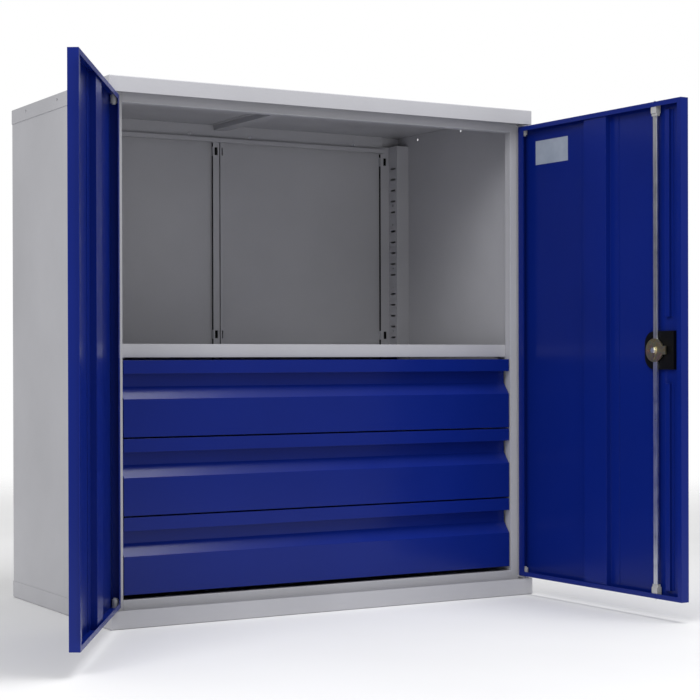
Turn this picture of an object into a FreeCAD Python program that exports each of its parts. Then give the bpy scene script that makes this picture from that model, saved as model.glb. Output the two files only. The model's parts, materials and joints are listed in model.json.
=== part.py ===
import FreeCAD, Part
import os
from types import SimpleNamespace

import Sketcher
from FreeCAD import Placement, Rotation, Vector

# Tool cabinet with two doors, a shelf compartment above and three drawers below.
# Millimetres. X runs to the right seen from the front, the doors are on the -Y side and Z is up.
# The origin is on the floor, under the middle of the cabinet.
# It stands as in use: both doors swung open, the drawers in, the lock rods drawn back.

SIZES = (
    # The whole cabinet
    ("width", 950, "over the cover and the base"),
    ("depth", 500, "over the cover and the base"),
    ("height", 1000, "floor to the top of the cover"),
    ("gauge", 1.2, "thickness of the body sheet"),
    ("cover_skirt", 29, "height of the cover's skirt"),
    ("base_skirt", 33, "height of the base tray's skirt"),
    ("corner_round", 2, "rounding of the cover's and base tray's corners"),
    ("cut_overrun", 5, "how far a cutting tool runs past a face"),
    ("link_hole_radius", 3, "holes that join neighbouring cabinets"),
    ("link_hole_pitch", 168, "middle hole to outer hole along the skirt"),
    ("link_hole_drop", 12, "hole centre below the top"),
    # Front frame
    ("door_depth", 18, "thickness of a door pan"),
    ("door_setback", 8, "gap between a shut door and the frame"),
    ("post_width", 34.1, "width of a front post"),
    ("post_return", 18, "depth of the front post's side"),
    ("rail_show", 15, "part of a rail that shows past the skirt"),
    # Uprights, shelf and ceiling
    ("upright_step", 2, "inner edge of a front post to the perforated face of an upright"),
    ("upright_web", 26, "depth of the front upright's perforated face"),
    ("rear_web", 34, "depth of the rear upright's perforated face"),
    ("upright_flange", 22, "width of the rear upright's flange"),
    ("post_stand", 9, "back panel to the face of a flange or centre post"),
    ("front_upright_setback", 20, "front frame to the front upright"),
    ("front_upright_drop", 6, "shelf's upper face to the top of a front upright"),
    ("slot_width", 18, "perforation slot, front to back"),
    ("slot_height", 4, "perforation slot, up and down"),
    ("slot_pitch", 25, "slot to slot in one group"),
    ("slot_drop", 75, "top of the cabinet to the highest slot"),
    ("dot_radius", 2, "small round hole between groups"),
    ("dot_offset", 15, "round hole to the nearest slot"),
    ("centre_post_start", 15.5, "middle to the left edge of the centre post"),
    ("wide_channel", 15, "left channel of the centre post"),
    ("narrow_channel", 8.8, "right channel of the centre post"),
    ("channel_gap", 2.8, "between the two channels"),
    ("panel_joint", 1, "gap between the back panels"),
    ("hook_slot_width", 7.5, "slot in a flange or the wide channel"),
    ("thin_slot_width", 2.8, "slot in the narrow channel"),
    ("hook_slot_height", 17, "slots at the back, up and down"),
    ("bridge_height", 20, "tab behind a slot, back to the panel"),
    ("hook_slot_drop", 58, "top of the cabinet to the upper hook slot"),
    ("hook_slot_pitch", 400, "upper hook slot to the lower one"),
    ("rail_bolt_radius", 4, "bolt head on the back rail"),
    ("rail_bolt_head", 3, "height of a bolt head"),
    ("rail_bolt_drop", 24, "top of the cabinet to a rail bolt"),
    ("rail_bolt_inner", 74, "middle to the inner rail bolts"),
    ("rail_bolt_end", 75.5, "edge of an upright's flange to the outer rail bolts"),
    ("back_rail_drop", 39, "top of the cabinet to the back rail's lower edge"),
    ("back_rail_return", 8, "depth of the back rail's fold"),
    ("back_rail_lip", 9, "height of the back rail's lip"),
    ("back_rail_lap", 4, "back rail over an upright's flange"),
    ("rear_upright_drop", 24, "top of the cabinet to a rear upright"),
    ("stiffener_crown", 30, "ceiling channel, flat bottom"),
    ("stiffener_foot", 10, "ceiling channel, each flange"),
    ("stiffener_drop", 12, "depth of the ceiling channel"),
    ("shelf_gap", 5, "top drawer to the shelf's edge"),
    ("shelf_lip", 25, "height of the shelf's edge"),
    ("shelf_clearance", 0.3, "shelf edge to an upright"),
    ("bracket_thickness", 1.5, "angle under the shelf"),
    ("bracket_leg", 20, "height of the angle's leg"),
    ("bracket_tongue", 14, "width of the angle's tongue"),
    ("bracket_length", 22, "length of the angle"),
    # Drawers and their slides
    ("drawer_side_gap", 2.5, "drawer front to a front post"),
    ("drawer_front_height", 141, "height of a drawer front"),
    ("drawer_front_depth", 20, "depth of a drawer front"),
    ("drawer_gap", 3, "one drawer front to the next"),
    ("drawer_floor_gap", 9, "bottom rail to the lowest drawer front"),
    ("drawer_setback", 2, "drawer front behind the front frame"),
    ("band_height", 24.5, "flat band along the top of a drawer front"),
    ("recess_height", 24, "grip recess under the band"),
    ("recess_depth", 18, "depth of the grip recess"),
    ("slope_height", 23, "sloping face under the recess"),
    ("box_bottom", 22, "lower edge of the front to the drawer's floor"),
    ("box_height", 76.5, "height of a drawer box"),
    ("box_rear_gap", 10.6, "drawer box to the rear uprights' flanges"),
    ("slide_end_gap", 30, "how much shorter a closed slide is than the drawer box"),
    ("slide_thickness", 12.7, "upright to drawer box"),
    ("slide_centre", 34, "lower edge of the front to the slide's middle"),
    ("slide_start", 1, "drawer front to the slide"),
    ("outer_member_height", 45, "fixed slide member"),
    ("outer_member_depth", 8.5, "fixed slide member, side to side"),
    ("middle_member_height", 38, "travelling slide member"),
    ("middle_member_depth", 7.1, "travelling slide member, side to side"),
    ("middle_member_inset", 2.9, "upright to the travelling member"),
    ("inner_member_height", 26, "slide member on the drawer"),
    ("inner_member_depth", 6.7, "slide member on the drawer, side to side"),
    ("ball_gap", 0.1, "running gap at a ball strip"),
    ("ball_strip_width", 3, "ball strip, side to side"),
    ("catch_length", 20, "plastic catch at the travelling member's front"),
    ("catch_gap", 0.2, "clearance around the catch"),
    # Doors
    ("door_clearance", 5, "door to the skirts above and below"),
    ("door_meeting_gap", 2.5, "gap between the shut doors"),
    ("pin_inset", 13, "side of the cabinet to the hinge pin"),
    ("hinge_edge", 8.5, "hinge pin to the door's outer edge"),
    ("hinge_lip", 16, "inner lip along the hinge edge"),
    ("free_lip", 10, "inner lip along the free edge"),
    ("end_lip", 9, "inner lip along the top and bottom"),
    ("left_door_angle", 121.5, "how far the left door stands open"),
    ("right_door_angle", 91.5, "how far the right door stands open"),
    ("rib_start", 166, "hinge pin to the door rib"),
    ("rib_foot", 24, "flange of the door rib"),
    ("rib_crown", 64, "crown of the door rib"),
    ("rib_depth", 13, "depth of the door rib"),
    ("edge_rib_inset", 56.5, "free edge of the door to the edge rib"),
    ("edge_rib_foot", 5, "flange of the edge rib"),
    ("edge_rib_crown", 11, "crown of the edge rib"),
    ("edge_rib_depth", 7, "depth of the edge rib"),
    ("edge_rib_end", 15, "end of the edge rib to the door's flange"),
    ("edge_rib_stop", 62, "lock centre to the split edge rib"),
    ("strip_seat", 8, "stop strip, part on the left door's lip"),
    ("strip_reach", 10, "stop strip past the middle, behind the right door"),
    ("strip_joggle", 0.6, "step of the stop strip"),
    # Hinges
    ("pin_radius", 4, "hinge pin"),
    ("pin_length", 20, "hinge pin beyond its plate"),
    ("pin_clearance", 0.05, "hinge pin to bush, each side"),
    ("bush_radius", 6.5, "outside of the hinge bush"),
    ("bush_length", 16, "hinge bush inside the door"),
    ("collar_radius", 7.5, "collar of the hinge bush"),
    ("collar_thickness", 0.8, "collar of the hinge bush"),
    ("hinge_gap", 0.5, "collar to hinge plate"),
    ("hinge_plate", 2.5, "thickness of the hinge plate"),
    ("hinge_plate_half", 7.5, "half width of the hinge plate"),
    ("hinge_tab", 22, "height of the tab on the post"),
    ("hinge_tab_thickness", 2, "thickness of the tab"),
    ("hinge_screw_radius", 3.5, "screw head on the tab"),
    ("hinge_screw_head", 1.6, "height of a screw head"),
    # Label plate, bare
    ("label_start", 28, "hinge pin to the label plate"),
    ("label_width", 100, "label plate"),
    ("label_height", 49, "label plate"),
    ("label_thickness", 0.5, "label plate"),
    ("label_drop", 32, "top of the door to the label plate"),
    # Lock
    ("lock_inset", 72.75, "free edge of the door to the lock's axis"),
    ("case_left", 33, "lock axis to the case's rounded end"),
    ("case_right", 43, "lock axis to the case's square end"),
    ("case_half_height", 36, "lock axis to the case's top"),
    ("case_round", 24, "rounding of the case's end"),
    ("case_depth", 8.8, "case behind the door's outer face"),
    ("case_gap", 0.3, "case to the door's cut-out"),
    ("bezel_proud", 3, "bezel in front of the door"),
    ("bezel_margin", 4, "bezel beyond the case"),
    ("pocket_start", 17, "lock axis to the finger pocket"),
    ("pocket_end", 41, "lock axis to the pocket's far wall"),
    ("pocket_half_height", 27, "finger pocket"),
    ("pocket_floor", 2, "thickness of the pocket's floor"),
    ("plug_radius", 8, "lock cylinder"),
    ("plug_clearance", 0.1, "lock cylinder to its bore"),
    ("plug_head_radius", 10.5, "head of the lock cylinder"),
    ("plug_head", 1.5, "thickness of the head"),
    ("plug_head_gap", 0.2, "head to bezel"),
    ("keyway_width", 1.8, "key slot"),
    ("keyway_height", 9, "key slot"),
    ("keyway_depth", 8, "key slot"),
    ("shaft_radius", 3, "shaft behind the lock cylinder"),
    ("shaft_end", 0.3, "shaft beyond the nut"),
    ("cam_gap", 0.3, "lock rods to cam disc"),
    ("cam_thickness", 3, "cam disc"),
    ("cam_radius", 22, "cam disc"),
    ("cam_hole_radius", 2, "holes in the cam disc"),
    ("cam_hole_throw", 15, "lock axis to a hole of the cam disc"),
    ("lug_reach", 30, "lock axis to the end of the cam disc's lug"),
    ("lug_half", 8, "half width of the lug"),
    ("hub_radius", 8, "hub of the cam disc"),
    ("hub_height", 1.2, "hub of the cam disc"),
    ("cam_pin_radius", 2, "cam pin"),
    ("cam_pin_throw", 12, "lock axis to a cam pin"),
    ("cam_pin_play", 0.7, "cam pin beyond the rod's flattened end"),
    ("cam_half_turn", 45, "cam pin's angle to the level, drawn back"),
    ("nut_radius", 5.6, "cam nut, across the corners"),
    ("nut_height", 2.6, "cam nut"),
    # Lock rods
    ("rod_width", 10.6, "flat rod"),
    ("rod_thickness", 4, "flat rod"),
    ("rod_gap", 0.4, "lock case to the rods"),
    ("rod_tip_proud", 2.5, "drawn-back rod beyond the door's edge"),
    ("rod_chamfer", 3, "tip of the rod"),
    ("rod_bar_start", 22, "lock axis to the full bar of the rod"),
    ("head_thickness", 2.5, "flattened end of a rod"),
    ("head_gap", 0.7, "one rod's end to the other rod"),
    ("head_margin", 2, "metal around a pin slot"),
    ("slot_play", 0.5, "pin slot to pin, above and below"),
    ("slot_end_play", 0.8, "pin slot to pin, at the ends"),
    ("rod_hole_radius", 1.5, "holes in the lower rod"),
    ("rod_hole_drop", 100, "lock axis to the first hole"),
    ("rod_hole_pitch", 29, "hole to hole"),
    ("guide_width", 14, "rod guide"),
    ("guide_height", 20, "rod guide, its thick part"),
    ("guide_depth", 12, "rod guide, its thick part"),
    ("guide_neck", 5, "rod guide, its thin end"),
    ("guide_neck_inset", 2.2, "thick part to the thin end, front and back"),
    ("guide_gap", 0.3, "guide to rod"),
)

doc = FreeCAD.newDocument("tool_cabinet")
sheet = doc.addObject("Spreadsheet::Sheet", "sizes")
for row, (alias, value, note) in enumerate(SIZES, start=1):
    sheet.set(f"A{row}", alias)
    sheet.set(f"B{row}", str(value))
    sheet.set(f"C{row}", note)
    sheet.setAlias(f"B{row}", alias)
doc.recompute()


class Size:
    """A length or angle with its value and the sheet formula that gives it."""

    def __init__(self, value, formula):
        self.value = value
        self.formula = formula

    def __add__(self, other):
        return Size(self.value + other.value, f"({self.formula} + {other.formula})")

    def __sub__(self, other):
        return Size(self.value - other.value, f"({self.formula} - {other.formula})")

    def __mul__(self, count):
        return Size(self.value * count, f"({self.formula} * {count})")

    def __truediv__(self, count):
        return Size(self.value / count, f"({self.formula} / {count})")

    def __neg__(self):
        return Size(-self.value, f"(0 - {self.formula})")

    def scaled_by(self, function, angle):
        """This length times the sine or cosine of an angle in degrees."""
        turned = f"({self.formula} * {function}({angle.formula} * 1deg))"
        unit = {"sin": Vector(0, 1, 0), "cos": Vector(1, 0, 0)}[function]
        arm = Rotation(Vector(0, 0, 1), angle.value).multVec(Vector(1, 0, 0))
        return Size(self.value * arm.dot(unit), turned)


S = SimpleNamespace(**{name: Size(float(sheet.get(name)), f"sizes.{name}") for name, _, _ in SIZES})
ZERO = Size(0.0, "0")
TURNS = {"x": Rotation(Vector(0, 1, 0), 90), "y": Rotation(Vector(1, 0, 0), -90), "z": Rotation()}
SIDES = {"left": -1, "right": 1}
UPWARD = 1
DOWNWARD = -1
SLOTS_IN_GROUP = 5
DRAWERS = ("bottom", "middle", "top")


# Building blocks

def bind_base(thing, corner):
    for letter, distance in zip("xyz", corner):
        thing.setExpression(f"Placement.Base.{letter}", distance.formula)
    return thing


def block(low, high):
    """A box between its lowest and its highest corner."""
    box = doc.addObject("Part::Box", "block")
    for side_name, start, end in zip(("Length", "Width", "Height"), low, high):
        box.setExpression(side_name, (end - start).formula)
    return bind_base(box, low)


def round_bar(base, radius, length, along="z"):
    """A cylinder that starts at its base point and runs along X, Y or Z."""
    bar = doc.addObject("Part::Cylinder", "round_bar")
    bar.setExpression("Radius", radius.formula)
    bar.setExpression("Height", length.formula)
    bar.Placement = Placement(Vector(), TURNS[along])
    return bind_base(bar, base)


def joined(*pieces):
    """One solid of several that touch."""
    union = doc.addObject("Part::MultiFuse", "joined")
    union.Shapes = list(pieces)
    union.Refine = True
    return union


def group(*pieces):
    """Several separate solids kept under one name."""
    bundle = doc.addObject("Part::Compound", "group")
    bundle.Links = list(pieces)
    return bundle


def cut(base, *tools):
    """A piece with other shapes taken out of it."""
    difference = doc.addObject("Part::Cut", "cut")
    difference.Base = base
    difference.Tool = tools[0] if len(tools) == 1 else group(*tools)
    difference.Refine = True
    return difference


def rounded(piece, radius, wanted):
    """A piece with the edges rounded for which wanted(start, end) holds."""
    doc.recompute()
    fillet = doc.addObject("Part::Fillet", "rounded")
    fillet.Base = piece
    edges = []
    for number, edge in enumerate(piece.Shape.Edges, start=1):
        start = edge.Vertexes[0].Point
        end = edge.Vertexes[-1].Point
        if wanted(start, end):
            edges.append((number, radius.value, radius.value))
    fillet.Edges = edges
    return fillet


def profile(plane, outline, start, length):
    """A bar or bent sheet: one closed outline on an origin plane, padded along the plane's axis."""
    body = doc.addObject("PartDesign::Body", "profile")
    sketch = body.newObject("Sketcher::SketchObject", "outline")
    base_plane = next(item for item in body.Origin.OriginFeatures if item.Role == plane)
    sketch.AttachmentSupport = (base_plane, "")
    sketch.MapMode = "FlatFace"
    corners = [Vector(across.value, up.value, 0) for across, up in outline]
    for corner, following in zip(corners, corners[1:] + corners[:1]):
        sketch.addGeometry(Part.LineSegment(corner, following), False)
    for number, (across, up) in enumerate(outline):
        after = (number + 1) % len(outline)
        sketch.addConstraint(Sketcher.Constraint("Coincident", number, 2, after, 1))
        for kind, distance in (("DistanceX", across), ("DistanceY", up)):
            index = sketch.addConstraint(Sketcher.Constraint(kind, -1, 1, number, 1, distance.value))
            sketch.setExpression(f"Constraints[{index}]", distance.formula)
    pad = body.newObject("PartDesign::Pad", "pad")
    pad.Profile = sketch
    pad.setExpression("Length", length.formula)
    pad.Reversed = plane == "XZ_Plane"
    sketch.Visibility = False
    return bind_base(body, start)


def tray(low, high, wall, open_side):
    """A thin-walled box without one of its six sides, such as "bottom" or "top"."""
    inner_low = [corner + wall for corner in low]
    inner_high = [corner - wall for corner in high]
    if open_side == "bottom":
        inner_low[2] = low[2] - S.cut_overrun
    else:
        inner_high[2] = high[2] + S.cut_overrun
    return block(low, high), block(inner_low, inner_high)


def mirrored(side, near, far):
    """The X values of a span on the right side, or its mirror image on the left."""
    return (near, far) if side > 0 else (-far, -near)


NODES = []


def keep(name, piece, door_sign=0):
    """Give a finished sub-part its name and, on a door, its place on the open door."""
    if door_sign:
        piece = swung_open(piece, door_sign)
    piece.Label = name
    NODES.append(piece)


def swung_open(piece, sign):
    """A piece drawn on the shut door about the Z axis, hung on its pin with the door open."""
    if piece.ExpressionEngine:
        piece = group(piece)
    angle = S.right_door_angle if sign > 0 else S.left_door_angle
    piece.Placement = Placement(Vector(), Rotation(Vector(0, 0, sign), angle.value))
    piece.setExpression("Placement.Rotation.Angle", f"{angle.formula} * 1deg")
    return bind_base(piece, ((side - S.pin_inset) * sign, pin_y, ZERO))


# Planes that several pieces share

side = S.width / 2
front = -S.depth / 2
back = S.depth / 2
ceiling = S.height - S.gauge
skirt_bottom = S.height - S.cover_skirt
wall_outside = side - S.gauge
wall_inside = wall_outside - S.gauge
frame_front = front + S.door_depth + S.door_setback
post_back = frame_front + S.post_return
panel_face = back - S.gauge * 2
flange_face = panel_face - S.post_stand
opening_half = wall_inside - S.post_width
upright_face = opening_half + S.upright_step
top_rail_level = skirt_bottom - S.rail_show
bottom_rail_level = S.base_skirt + S.rail_show
drawer_pitch = S.drawer_front_height + S.drawer_gap
drawer_levels = [
    bottom_rail_level + S.drawer_floor_gap + drawer_pitch * number
    for number in range(len(DRAWERS))
]
shelf_underside = drawer_levels[-1] + S.drawer_front_height + S.shelf_gap
shelf_top = shelf_underside + S.shelf_lip
link_holes = [
    (S.link_hole_pitch * step, S.height - S.link_hole_drop)
    for step in (-1, 0, 1)
]


# Cover, base and side panels

def link_hole_tools():
    low = -side - S.cut_overrun
    length = (side + S.cut_overrun) * 2
    return [
        round_bar((low, place, level), S.link_hole_radius, length, "x")
        for place, level in link_holes
    ]


def pan(low, high, open_side):
    """A skirted pan with soft outer corners."""
    shell, hollow = tray(low, high, S.gauge, open_side)
    flat_level = low[2].value if open_side == "top" else high[2].value

    def is_outer_corner(start, end):
        upright = abs(start.x - end.x) + abs(start.y - end.y) < S.gauge.value
        on_flat = start.z == end.z == flat_level
        return upright or on_flat

    return rounded(shell, S.corner_round, is_outer_corner), hollow


shell, hollow = pan((-side, front, skirt_bottom), (side, back, S.height), "bottom")
keep("top_cover", cut(shell, hollow, *link_hole_tools()))

shell, hollow = pan((-side, front, ZERO), (side, back, S.base_skirt), "top")
keep("base_tray", cut(shell, hollow))

for name, sign in SIDES.items():
    across = mirrored(sign, wall_inside, wall_outside)
    sheet_low = (across[0], frame_front, S.gauge)
    sheet_high = (across[1], back - S.gauge, ceiling)
    keep(f"side_panel_{name}", cut(block(sheet_low, sheet_high), *link_hole_tools()))


# Front posts and rails

def bent(sign, points):
    """An outline drawn for the right side, turned over for the left one."""
    return [(across if sign > 0 else -across, along) for across, along in points]


for name, sign in SIDES.items():
    inner = opening_half
    post_outline = bent(sign, [
        (inner, frame_front),
        (wall_inside, frame_front),
        (wall_inside, post_back),
        (wall_inside - S.gauge, post_back),
        (wall_inside - S.gauge, frame_front + S.gauge),
        (inner + S.gauge, frame_front + S.gauge),
        (inner + S.gauge, post_back),
        (inner, post_back),
    ])
    keep(f"front_post_{name}", profile("XY_Plane", post_outline, (ZERO, ZERO, S.gauge), ceiling - S.gauge))

rail_start = (-opening_half, ZERO, ZERO)
rail_length = opening_half * 2
keep("front_top_rail", profile("YZ_Plane", [
    (frame_front, top_rail_level),
    (frame_front, ceiling),
    (frame_front + S.gauge, ceiling),
    (frame_front + S.gauge, top_rail_level + S.gauge),
    (post_back, top_rail_level + S.gauge),
    (post_back, top_rail_level),
], rail_start, rail_length))
keep("front_bottom_rail", profile("YZ_Plane", [
    (frame_front, S.gauge),
    (frame_front, bottom_rail_level),
    (post_back, bottom_rail_level),
    (post_back, bottom_rail_level - S.gauge),
    (frame_front + S.gauge, bottom_rail_level - S.gauge),
    (frame_front + S.gauge, S.gauge),
], rail_start, rail_length))


# Back panels, rear strips and the ceiling channel

hook_slot_top = S.height - S.hook_slot_drop


hook_levels = (hook_slot_top, hook_slot_top - S.hook_slot_pitch)


def level_blocks(low_x, high_x, low_y, high_y, height):
    """Two equal boxes at the hook slots' levels."""
    return [
        block((low_x, low_y, level - height / 2), (high_x, high_y, level + height / 2))
        for level in hook_levels
    ]


def hook_slots(middle, width):
    """Two slots in a sheet that stands off the back panels, one above the other."""
    return level_blocks(
        middle - width / 2, middle + width / 2, flange_face - S.cut_overrun, flange_face + S.post_stand / 2,
        S.hook_slot_height)


def bridges(low_x):
    """The two tabs that hold such a sheet's free edge to the panel behind it."""
    return level_blocks(low_x, low_x + S.gauge, flange_face, panel_face, S.bridge_height)


for name, sign in SIDES.items():
    across = mirrored(sign, S.panel_joint / 2, wall_inside)
    keep(f"back_panel_{name}", block(
        (across[0], panel_face, S.gauge),
        (across[1], panel_face + S.gauge, ceiling),
    ))

wide_start = -S.centre_post_start
wide_end = wide_start + S.wide_channel
narrow_start = wide_end + S.channel_gap
narrow_end = narrow_start + S.narrow_channel
upright_height = ceiling - S.gauge
wide_sheet = profile("XY_Plane", [
    (wide_start, flange_face),
    (wide_end, flange_face),
    (wide_end, panel_face),
    (wide_end - S.gauge, panel_face),
    (wide_end - S.gauge, flange_face + S.gauge),
    (wide_start, flange_face + S.gauge),
], (ZERO, ZERO, S.gauge), upright_height)
narrow_sheet = profile("XY_Plane", [
    (narrow_start, flange_face),
    (narrow_end, flange_face),
    (narrow_end, panel_face),
    (narrow_end - S.gauge, panel_face),
    (narrow_end - S.gauge, flange_face + S.gauge),
    (narrow_start + S.gauge, flange_face + S.gauge),
    (narrow_start + S.gauge, panel_face),
    (narrow_start, panel_face),
], (ZERO, ZERO, S.gauge), upright_height)
keep("back_centre_post", group(
    cut(
        joined(wide_sheet, *bridges(wide_start)),
        *hook_slots((wide_start + wide_end) / 2, S.hook_slot_width),
    ),
    cut(narrow_sheet, *hook_slots((narrow_start + narrow_end) / 2, S.thin_slot_width)),
))

flange_edge = upright_face - S.upright_flange
rail_front = flange_face - S.gauge
rail_half = flange_edge + S.back_rail_lap
back_rail_level = S.height - S.back_rail_drop
lip_front = rail_front - S.back_rail_return
lip_top = back_rail_level + S.back_rail_lip
keep("back_top_rail", profile("YZ_Plane", [
    (flange_face, back_rail_level),
    (flange_face, ceiling),
    (rail_front, ceiling),
    (rail_front, back_rail_level + S.gauge),
    (lip_front + S.gauge, back_rail_level + S.gauge),
    (lip_front + S.gauge, lip_top),
    (lip_front, lip_top),
    (lip_front, back_rail_level),
], (-rail_half, ZERO, ZERO), rail_half * 2))
keep("back_rail_bolts", group(*[
    round_bar(
        (place * sign, rail_front - S.rail_bolt_head, S.height - S.rail_bolt_drop),
        S.rail_bolt_radius, S.rail_bolt_head, "y",
    )
    for place in (S.rail_bolt_inner, flange_edge - S.rail_bolt_end)
    for sign in SIDES.values()
]))

crown = S.stiffener_crown / 2
foot = crown + S.stiffener_foot
channel_bottom = ceiling - S.stiffener_drop
keep("ceiling_stiffener", profile("XZ_Plane", [
    (-foot, ceiling),
    (-foot, ceiling - S.gauge),
    (-crown, ceiling - S.gauge),
    (-crown, channel_bottom),
    (crown, channel_bottom),
    (crown, ceiling - S.gauge),
    (foot, ceiling - S.gauge),
    (foot, ceiling),
    (crown - S.gauge, ceiling),
    (crown - S.gauge, channel_bottom + S.gauge),
    (S.gauge - crown, channel_bottom + S.gauge),
    (S.gauge - crown, ceiling),
], (ZERO, frame_front + S.gauge, ZERO), rail_front - frame_front - S.gauge))


# Perforated uprights

def perforations(sign, middle, top, bottom):
    """The slots and small round holes in an upright's face between two levels."""
    across = mirrored(sign, upright_face - S.cut_overrun, upright_face + S.cut_overrun)
    tools = []
    group_top = S.height - S.slot_drop
    while group_top.value > bottom.value:
        for step in range(SLOTS_IN_GROUP):
            level = group_top - S.slot_pitch * step
            if bottom.value < level.value < top.value:
                tools.append(block(
                    (across[0], middle - S.slot_width / 2, level - S.slot_height / 2),
                    (across[1], middle + S.slot_width / 2, level + S.slot_height / 2),
                ))
        next_top = group_top - drawer_pitch
        last = group_top - S.slot_pitch * (SLOTS_IN_GROUP - 1)
        for level in (last + S.dot_offset, next_top + S.dot_offset):
            if bottom.value < level.value < top.value:
                tools.append(round_bar((across[0], middle, level), S.dot_radius, S.cut_overrun * 2, "x"))
        group_top = next_top
    return tools


web = upright_face
rear_web_front = flange_face - S.rear_web
front_web = frame_front + S.front_upright_setback
front_web_back = front_web + S.upright_web
front_upright_top = shelf_top - S.front_upright_drop
rear_upright_top = S.height - S.rear_upright_drop
for name, sign in SIDES.items():
    rear_outline = bent(sign, [
        (flange_edge, flange_face),
        (flange_edge, flange_face + S.gauge),
        (web, flange_face + S.gauge),
        (web, panel_face),
        (web + S.gauge, panel_face),
        (web + S.gauge, rear_web_front + S.gauge),
        (wall_inside, rear_web_front + S.gauge),
        (wall_inside, rear_web_front),
        (web, rear_web_front),
        (web, flange_face),
    ])
    upright = profile("XY_Plane", rear_outline, (ZERO, ZERO, S.gauge), rear_upright_top - S.gauge)
    bridge_start = mirrored(sign, flange_edge, flange_edge + S.gauge)[0]
    rear_middle = (rear_web_front + flange_face) / 2
    holes = perforations(sign, rear_middle, rear_upright_top, S.base_skirt)
    hooks = hook_slots((flange_edge + S.upright_flange / 2) * sign, S.hook_slot_width)
    keep(f"rear_upright_{name}", cut(joined(upright, *bridges(bridge_start)), *holes, *hooks))

    front_outline = bent(sign, [
        (web, front_web),
        (web, front_web_back),
        (wall_inside, front_web_back),
        (wall_inside, front_web_back - S.gauge),
        (web + S.gauge, front_web_back - S.gauge),
        (web + S.gauge, front_web),
    ])
    upright = profile("XY_Plane", front_outline, (ZERO, ZERO, S.gauge), front_upright_top - S.gauge)
    front_middle = (front_web + front_web_back) / 2
    holes = perforations(sign, front_middle, shelf_underside - S.bracket_leg, S.base_skirt)
    keep(f"front_upright_{name}", cut(upright, *holes))


# Shelf over the drawers, on four angle brackets

shelf_half = upright_face - S.shelf_clearance
shelf_shell, shelf_hollow = tray(
    (-shelf_half, post_back + S.shelf_clearance, shelf_underside),
    (shelf_half, flange_face - S.shelf_clearance, shelf_top),
    S.gauge, "bottom",
)
keep("mid_shelf", cut(shelf_shell, shelf_hollow))

brackets = []
for sign in SIDES.values():
    for start in (front_web, flange_face - S.bracket_length - S.shelf_clearance):
        tongue = mirrored(sign, web - S.bracket_tongue, web)
        leg = mirrored(sign, web - S.bracket_thickness, web)
        end = start + S.bracket_length
        tongue_bottom = shelf_underside - S.bracket_thickness
        leg_bottom = shelf_underside - S.bracket_leg
        brackets.append(joined(
            block((tongue[0], start, tongue_bottom), (tongue[1], end, shelf_underside)),
            block((leg[0], start, leg_bottom), (leg[1], end, shelf_underside)),
        ))
keep("shelf_brackets", group(*brackets))


# Drawers on three-part ball slides

drawer_face = frame_front + S.drawer_setback
drawer_back = drawer_face + S.drawer_front_depth
box_half = upright_face - S.slide_thickness
box_back = flange_face - S.box_rear_gap
slide_front = drawer_back + S.slide_start
slide_length = box_back - drawer_back - S.slide_end_gap
slide_half_length = slide_length / 2


def drawer_front(bottom):
    """A folded front with a grip recess under its top band, closed at both ends."""
    half = opening_half - S.drawer_side_gap
    top = bottom + S.drawer_front_height
    band = top - S.band_height
    ledge = band - S.recess_height
    slope = ledge - S.slope_height
    recess = drawer_face + S.recess_depth
    sheet_face = drawer_face + S.gauge
    folded = profile("YZ_Plane", [
        (drawer_back, top),
        (drawer_face, top),
        (drawer_face, band),
        (recess, band),
        (recess, ledge),
        (drawer_face, slope),
        (drawer_face, bottom),
        (drawer_back, bottom),
        (drawer_back, bottom + S.gauge),
        (sheet_face, bottom + S.gauge),
        (sheet_face, slope),
        (recess + S.gauge, ledge),
        (recess + S.gauge, band + S.gauge),
        (sheet_face, band + S.gauge),
        (sheet_face, top - S.gauge),
        (drawer_back, top - S.gauge),
    ], (-half, ZERO, ZERO), half * 2)
    pieces = [folded]
    for start in (-half, half - S.gauge):
        pieces.append(block((start, drawer_face, band), (start + S.gauge, drawer_back, top)))
        pieces.append(profile("YZ_Plane", [
            (drawer_face, bottom),
            (drawer_face, slope),
            (recess, ledge),
            (drawer_back, ledge),
            (drawer_back, bottom),
        ], (start, ZERO, ZERO), S.gauge))
    return joined(*pieces)


def slide_channel(sign, back_x, depth, height, centre, inward):
    """A C-shaped slide member with its web at back_x and its flanges turned one way."""
    half = height / 2
    reach = -depth if inward else depth
    wall = -S.gauge if inward else S.gauge
    outline = bent(sign, [
        (back_x, centre - half),
        (back_x, centre + half),
        (back_x + reach, centre + half),
        (back_x + reach, centre + half - S.gauge),
        (back_x + wall, centre + half - S.gauge),
        (back_x + wall, centre - half + S.gauge),
        (back_x + reach, centre - half + S.gauge),
        (back_x + reach, centre - half),
    ])
    return profile("XZ_Plane", outline, (ZERO, slide_front, ZERO), slide_length)


def ball_strips(sign, centre):
    """Ball strips above and below: the outer pair at the rear, the inner pair at the front."""
    middle_half = S.middle_member_height / 2
    outer_half = S.outer_member_height / 2 - S.gauge
    inner_half = S.inner_member_height / 2
    spans = (
        (middle_half + S.ball_gap, outer_half - S.ball_gap, slide_front + slide_half_length,
         slide_front + slide_length, S.outer_member_depth - S.ball_strip_width),
        (inner_half + S.ball_gap, middle_half - S.gauge - S.ball_gap, slide_front + S.catch_length,
         slide_front + slide_half_length, S.outer_member_depth - S.ball_gap),
    )
    strips = []
    for near, far, start, end, inset in spans:
        outer_x = upright_face - inset + S.ball_strip_width / 2
        across = mirrored(sign, outer_x - S.ball_strip_width, outer_x)
        for low, high in ((centre + near, centre + far), (centre - far, centre - near)):
            strips.append(block((across[0], start, low), (across[1], end, high)))
    return strips


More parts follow.
